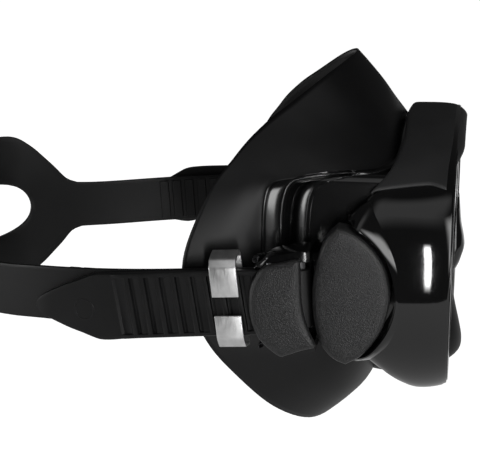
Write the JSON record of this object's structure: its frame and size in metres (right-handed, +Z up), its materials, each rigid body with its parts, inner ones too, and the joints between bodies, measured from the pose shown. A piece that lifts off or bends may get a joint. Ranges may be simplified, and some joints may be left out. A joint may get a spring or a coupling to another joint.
{
  "type": "diving mask",
  "caption": "Twin-lens diving mask with a black silicone face skirt and nose pocket, swivelling side buckles with release levers, and a split head strap.",
  "frame": {"origin": "on the mid-plane, level with the buckle pivots, in the plane of the skirt's rearmost sealing edges, where the mask meets the sides of the wearer's face", "axes": "+X to the wearer's left, +Y rearward towards the back of the head, +Z up"},
  "size_m": [0.1536, 0.1984, 0.121],
  "materials": {
    "gloss_black": "high-gloss moulded black",
    "rim_black": "satin-gloss moulded black",
    "matt_black": "soft matt black",
    "tempered_glass": "clear polished glass",
    "skirt_silicone": "satin black silicone",
    "strap_silicone": "satin black silicone",
    "textured_black": "fine-grain textured black",
    "buckle_black": "moulded black",
    "keeper_satin": "satin silver-grey",
    "roller_grey": "smooth dark grey",
    "stainless_steel": "fine-ground stainless"
  },
  "bodies": {
    "frame": {"front_frame": "gloss_black", "brow_cap": "matt_black", "front_rim": "rim_black", "bridge_trim": "gloss_black", "lens_left": "tempered_glass", "lens_right": "tempered_glass", "skirt": "skirt_silicone", "pivot_pin_left": "stainless_steel", "pivot_pin_right": "stainless_steel"},
    "buckle_right": {"buckle_body_right": "buckle_black", "swivel_cover_right": "textured_black", "lever_pins_right": "stainless_steel", "lever_springs_right": "stainless_steel", "roller_pin_right": "stainless_steel", "strap": "strap_silicone"},
    "lever_right": {"release_lever_right": "textured_black"},
    "roller_right": {"strap_roller_right": "roller_grey"},
    "keeper_right": {"strap_keeper_right": "keeper_satin"},
    "buckle_left": {"buckle_body_left": "buckle_black", "swivel_cover_left": "textured_black", "lever_pins_left": "stainless_steel", "lever_springs_left": "stainless_steel", "roller_pin_left": "stainless_steel"},
    "lever_left": {"release_lever_left": "textured_black"},
    "roller_left": {"strap_roller_left": "roller_grey"},
    "keeper_left": {"strap_keeper_left": "keeper_satin"}
  },
  "joints": [
    {"name": "buckle_swivel_right", "type": "hinge", "parent": "frame", "child": "buckle_right", "pos_m": [-0.063, -0.044, 0], "axis": [1, 0, 0], "range_deg": [-30, 30]},
    {"name": "buckle_swivel_left", "type": "hinge", "parent": "frame", "child": "buckle_left", "pos_m": [0.063, -0.044, 0], "axis": [1, 0, 0], "range_deg": [-30, 30]},
    {"name": "lever_press_right", "type": "hinge", "parent": "buckle_right", "child": "lever_right", "pos_m": [-0.0728, -0.03103, -0.00091], "axis": [0, -0.0698, -0.9976], "range_deg": [0, 6], "stiffness_Nm_per_rad": 0.25, "springref_deg": -6.88, "deforming": ["lever_springs_right"]},
    {"name": "roller_spin_right", "type": "hinge", "parent": "buckle_right", "child": "roller_right", "pos_m": [-0.0687, -0.04001, -0.00028], "axis": [0, 0.0698, 0.9976], "continuous": true},
    {"name": "keeper_slide_right", "type": "slide", "parent": "buckle_right", "child": "keeper_right", "axis": [0, 0.9976, -0.0698], "range_m": [-0.0015, 0.016]},
    {"name": "lever_press_left", "type": "hinge", "parent": "buckle_left", "child": "lever_left", "pos_m": [0.0728, -0.03103, -0.00091], "axis": [0, 0.0698, 0.9976], "range_deg": [0, 6], "stiffness_Nm_per_rad": 0.25, "springref_deg": -6.88, "deforming": ["lever_springs_left"]},
    {"name": "roller_spin_left", "type": "hinge", "parent": "buckle_left", "child": "roller_left", "pos_m": [0.0687, -0.04001, -0.00028], "axis": [0, 0.0698, 0.9976], "continuous": true},
    {"name": "keeper_slide_left", "type": "slide", "parent": "buckle_right", "child": "keeper_left", "axis": [0, 0.9976, -0.0698], "range_m": [-0.0015, 0.016]}
  ],
  "couplings": [
    {"joint": "buckle_swivel_left", "follows": "buckle_swivel_right", "ratio": 1}
  ]
}
